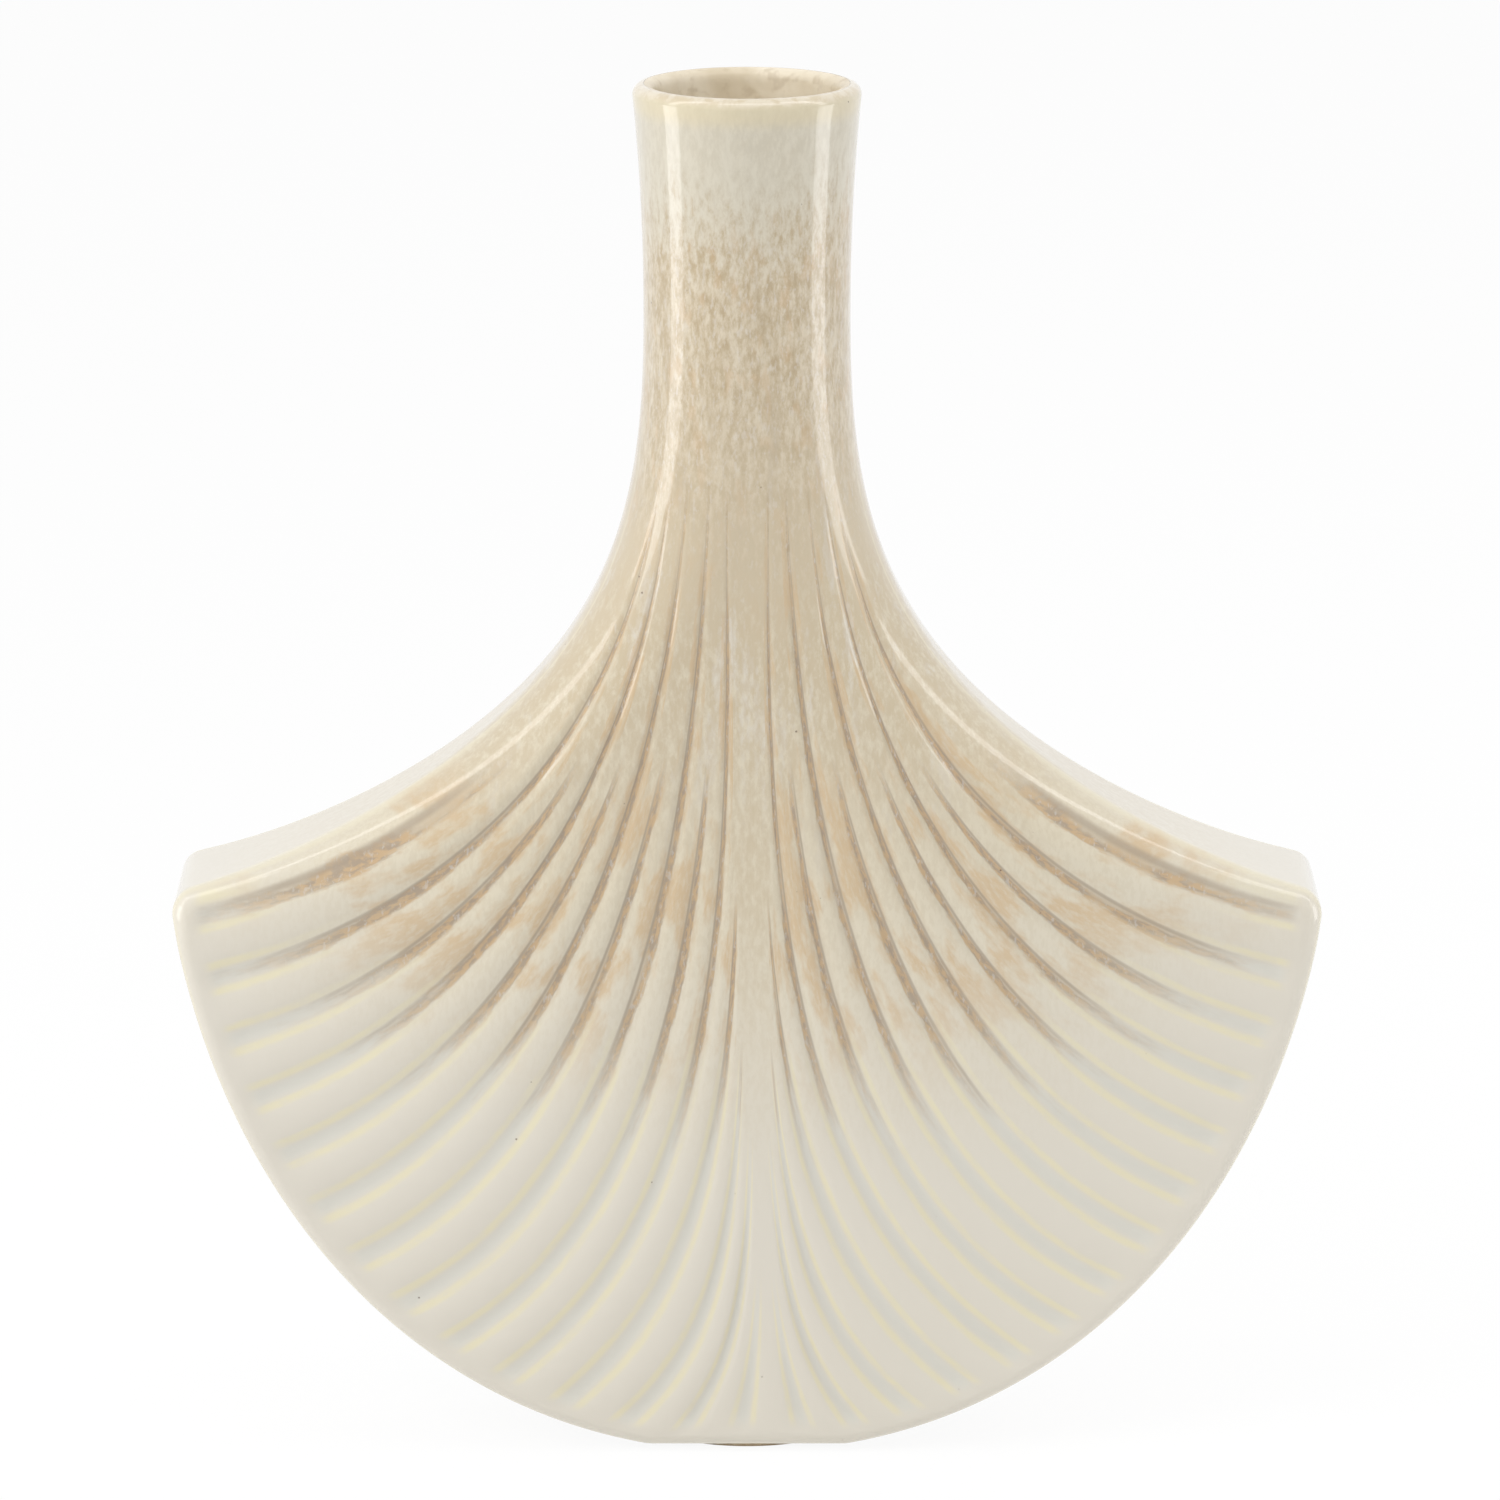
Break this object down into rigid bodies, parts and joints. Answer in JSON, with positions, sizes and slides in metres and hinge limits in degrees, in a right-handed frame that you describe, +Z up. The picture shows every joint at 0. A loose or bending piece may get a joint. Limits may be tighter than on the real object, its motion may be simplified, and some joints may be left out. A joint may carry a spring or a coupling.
{
  "type": "fan vase",
  "caption": "Flat fan-shaped ceramic flower vase with curved pleats that run down from a round flared neck to a scalloped half-round body on a small oval foot.",
  "frame": {"origin": "middle of the foot's flat underside, on the plane the vase stands on", "axes": "+Z up along the neck, X across the width of the fan, Y through its depth"},
  "size_m": [0.2497, 0.0492, 0.3],
  "materials": {
    "stoneware": "fired stoneware body, hidden under the glaze",
    "bare_stoneware": "bare fired clay, matt, warm buff",
    "outer_glaze": "satin cream glaze, thin and tan on the neck, pooling brown high in the grooves and bluish white low down",
    "liner_glaze": "satin tan-brown liner glaze"
  },
  "bodies": {
    "root": {"neck": "stoneware", "front_shell": "stoneware", "rear_shell": "stoneware", "foot": "bare_stoneware", "outer_glaze": "outer_glaze", "inner_glaze": "liner_glaze"}
  },
  "joints": []
}
